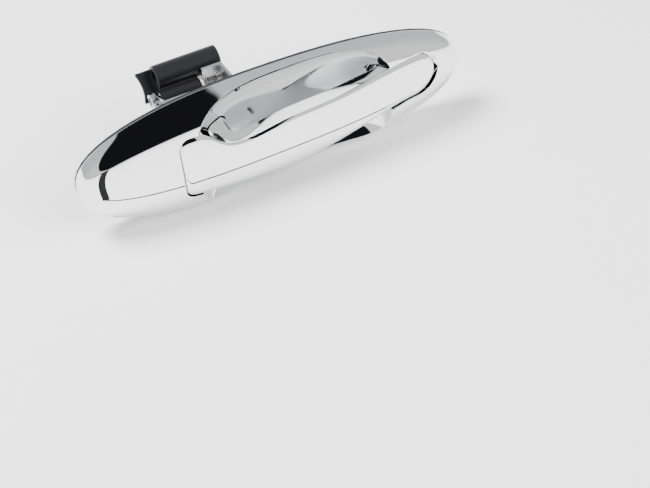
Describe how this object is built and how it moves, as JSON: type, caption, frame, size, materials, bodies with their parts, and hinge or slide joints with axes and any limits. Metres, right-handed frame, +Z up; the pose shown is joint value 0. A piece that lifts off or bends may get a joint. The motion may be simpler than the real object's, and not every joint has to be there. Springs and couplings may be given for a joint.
{
  "type": "car door handle",
  "caption": "Chromed outside car door handle: egg-shaped bezel with finger recess, hinged pull handle, and a sprung bell crank with counterweight behind it.",
  "frame": {"origin": "on the door skin plane, at the middle of the bezel's length, on the line that joins the tips of its outline", "axes": "+X towards the hinge end of the handle, +Y into the door, +Z up; the handle is pulled out towards -Y"},
  "size_m": [0.265, 0.0872, 0.0857],
  "materials": {
    "chrome": "mirror chrome plating",
    "black_cast": "satin black",
    "zinc": "bright zinc plate",
    "steel": "machined",
    "spring_steel": "bright drawn wire",
    "nylon": "natural nylon",
    "black_plastic": "moulded",
    "rubber": "matt"
  },
  "bodies": {
    "housing": {"bezel": "chrome", "recess_screw": "chrome", "rear_bracket": "zinc", "rear_stud": "zinc", "rear_bracket_screws": "steel", "hinge_bracket": "zinc", "front_stud": "zinc", "hinge_bracket_screws": "steel", "hinge_pin": "steel", "rear_buffer": "rubber", "leg_guide": "black_plastic", "crank_bracket": "zinc", "crank_bracket_screws": "steel", "crank_pin": "steel", "spring_sleeve": "nylon", "crank_spring": "spring_steel"},
    "pull_handle": {"grip_cover": "chrome", "grip_back": "chrome", "hinge_bushes": "nylon", "pull_leg": "chrome", "leg_screws": "steel"},
    "crank": {"bell_crank": "black_cast", "counterweight_core": "steel", "crank_bushes": "nylon", "arm_pin": "steel", "arm_roller": "nylon", "rod_clip": "nylon"},
    "gasket_ring": {"gasket": "rubber"}
  },
  "joints": [
    {"name": "handle_pull", "type": "hinge", "parent": "housing", "child": "pull_handle", "pos_m": [0.098, -0.009, 0], "axis": [0, 0, 1], "range_deg": [0, 9], "stiffness_Nm_per_rad": 1, "springref_deg": -20.05},
    {"name": "crank_turn", "type": "hinge", "parent": "housing", "child": "crank", "pos_m": [-0.05, 0.034, 0.0125], "axis": [1, 0, 0], "range_deg": [-45, 0], "stiffness_Nm_per_rad": 0.05, "springref_deg": 34.38, "deforming": ["crank_spring"]},
    {"name": "gasket_off", "type": "slide", "parent": "housing", "child": "gasket_ring", "axis": [0, 1, 0], "range_m": [0, 0.075]}
  ],
  "couplings": [
    {"joint": "crank_turn", "follows": "handle_pull", "ratio": -5}
  ]
}
